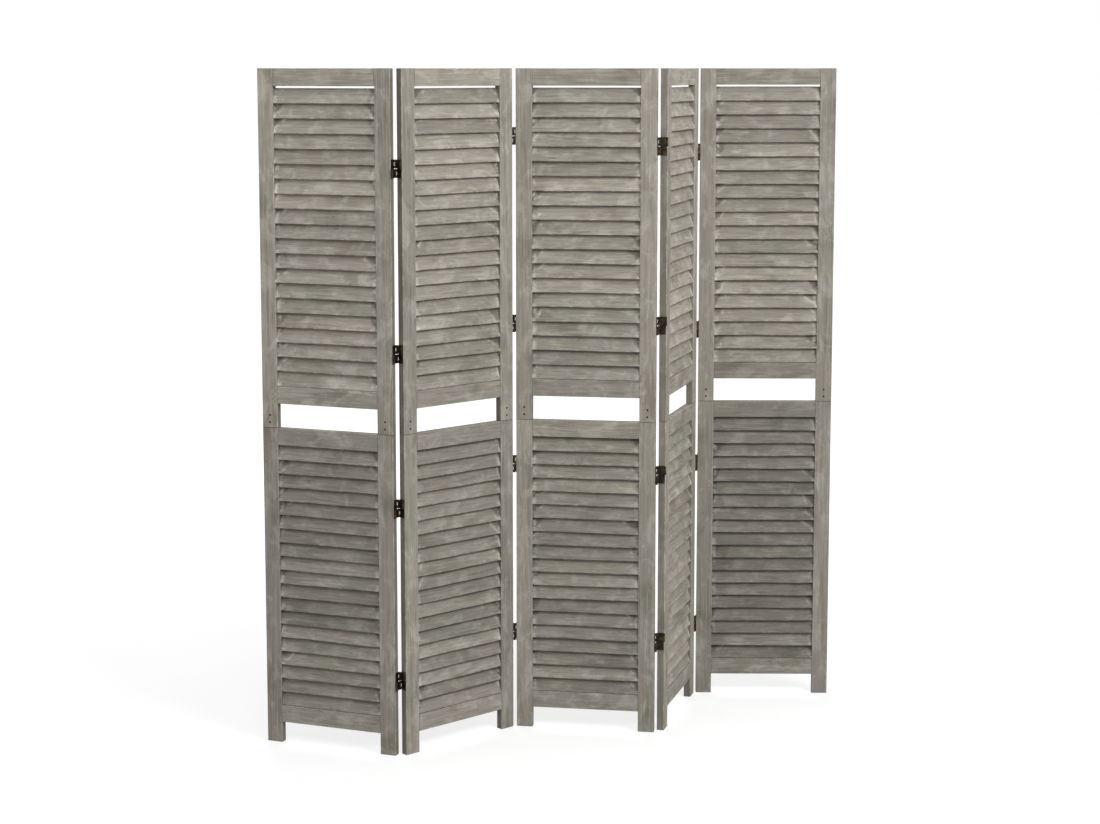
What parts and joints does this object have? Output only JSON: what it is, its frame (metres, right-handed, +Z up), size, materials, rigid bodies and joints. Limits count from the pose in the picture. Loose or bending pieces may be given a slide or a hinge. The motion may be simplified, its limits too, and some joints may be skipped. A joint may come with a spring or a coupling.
{
  "type": "folding screen",
  "caption": "Free-standing louvred wooden screen in a grey-brown wash, its panels joined by two-way hinges so that it folds flat either way",
  "frame": {"origin": "on the floor, under the middle of the zigzag's bounding box", "axes": "X runs along the screen from its left end to its right end seen from the front, Y from front to back, Z up"},
  "size_m": [1.506, 0.3432, 1.66],
  "materials": {
    "stile_wood": "grey-brown rubbed wash, matt",
    "rail_wood": "grey-brown rubbed wash, matt",
    "slat_wood": "grey-brown rubbed wash, matt",
    "dowel_wood": "bare turned wood",
    "screw_metal": "blackened steel",
    "hinge_metal": "dark bronzed steel",
    "pin_metal": "dark bronzed steel"
  },
  "bodies": {
    "panel_1": {"panel_1_upper_stiles": "stile_wood", "panel_1_lower_stiles": "stile_wood", "panel_1_upper_rails": "rail_wood", "panel_1_lower_rails": "rail_wood", "panel_1_upper_slats": "slat_wood", "panel_1_lower_slats": "slat_wood", "panel_1_joining_dowels": "dowel_wood", "panel_1_screws": "screw_metal", "panel_1_hinge_leaves": "hinge_metal", "panel_1_hinge_pins": "pin_metal"},
    "panel_2": {"panel_2_upper_stiles": "stile_wood", "panel_2_lower_stiles": "stile_wood", "panel_2_upper_rails": "rail_wood", "panel_2_lower_rails": "rail_wood", "panel_2_upper_slats": "slat_wood", "panel_2_lower_slats": "slat_wood", "panel_2_joining_dowels": "dowel_wood", "panel_2_screws": "screw_metal", "panel_2_hinge_leaves": "hinge_metal", "panel_2_hinge_pins": "pin_metal", "fold_1_2_upper_links": "hinge_metal"},
    "panel_3": {"panel_3_upper_stiles": "stile_wood", "panel_3_lower_stiles": "stile_wood", "panel_3_upper_rails": "rail_wood", "panel_3_lower_rails": "rail_wood", "panel_3_upper_slats": "slat_wood", "panel_3_lower_slats": "slat_wood", "panel_3_joining_dowels": "dowel_wood", "panel_3_screws": "screw_metal", "panel_3_hinge_leaves": "hinge_metal", "panel_3_hinge_pins": "pin_metal", "fold_2_3_lower_links": "hinge_metal", "fold_3_4_lower_links": "hinge_metal"},
    "panel_4": {"panel_4_upper_stiles": "stile_wood", "panel_4_lower_stiles": "stile_wood", "panel_4_upper_rails": "rail_wood", "panel_4_lower_rails": "rail_wood", "panel_4_upper_slats": "slat_wood", "panel_4_lower_slats": "slat_wood", "panel_4_joining_dowels": "dowel_wood", "panel_4_screws": "screw_metal", "panel_4_hinge_leaves": "hinge_metal", "panel_4_hinge_pins": "pin_metal", "fold_4_5_upper_links": "hinge_metal"},
    "panel_5": {"panel_5_upper_stiles": "stile_wood", "panel_5_lower_stiles": "stile_wood", "panel_5_upper_rails": "rail_wood", "panel_5_lower_rails": "rail_wood", "panel_5_upper_slats": "slat_wood", "panel_5_lower_slats": "slat_wood", "panel_5_joining_dowels": "dowel_wood", "panel_5_screws": "screw_metal", "panel_5_hinge_leaves": "hinge_metal", "panel_5_hinge_pins": "pin_metal"},
    "fold_1_2_link_set": {"fold_1_2_lower_links": "hinge_metal"},
    "fold_2_3_link_set": {"fold_2_3_upper_links": "hinge_metal"},
    "fold_3_4_link_set": {"fold_3_4_upper_links": "hinge_metal"},
    "fold_4_5_link_set": {"fold_4_5_lower_links": "hinge_metal"}
  },
  "joints": [
    {"name": "fold_1_2_backward", "type": "hinge", "parent": "panel_2", "child": "fold_1_2_link_set", "pos_m": [-0.45953, -0.15244, 0.984], "axis": [0, 0, -1], "range_deg": [-64, 116]},
    {"name": "fold_1_2_forward", "type": "hinge", "parent": "fold_1_2_link_set", "child": "panel_1", "pos_m": [-0.47075, -0.16728, 0.984], "axis": [0, 0, -1], "range_deg": [-180, 0]},
    {"name": "fold_2_3_forward", "type": "hinge", "parent": "panel_3", "child": "fold_2_3_link_set", "pos_m": [-0.13096, -0.0066, 1.031], "axis": [0, 0, 1], "range_deg": [-52.1, 127.9]},
    {"name": "fold_2_3_backward", "type": "hinge", "parent": "fold_2_3_link_set", "child": "panel_2", "pos_m": [-0.13938, 0.00998, 1.031], "axis": [0, 0, 1], "range_deg": [-155, 0]},
    {"name": "fold_3_4_backward", "type": "hinge", "parent": "panel_3", "child": "fold_3_4_link_set", "pos_m": [0.20179, -0.14263, 1.03], "axis": [0, 0, 1], "range_deg": [-83, 97]},
    {"name": "fold_3_4_forward", "type": "hinge", "parent": "fold_3_4_link_set", "child": "panel_4", "pos_m": [0.21753, -0.15254, 1.03], "axis": [0, 0, 1], "range_deg": [-180, 0]},
    {"name": "fold_4_5_forward", "type": "hinge", "parent": "panel_4", "child": "fold_4_5_link_set", "pos_m": [0.40883, 0.15124, 0.98], "axis": [0, 0, -1], "range_deg": [-74.8, 105.2]},
    {"name": "fold_4_5_backward", "type": "hinge", "parent": "fold_4_5_link_set", "child": "panel_5", "pos_m": [0.41427, 0.16903, 0.98], "axis": [0, 0, -1], "range_deg": [-180, 0]}
  ]
}
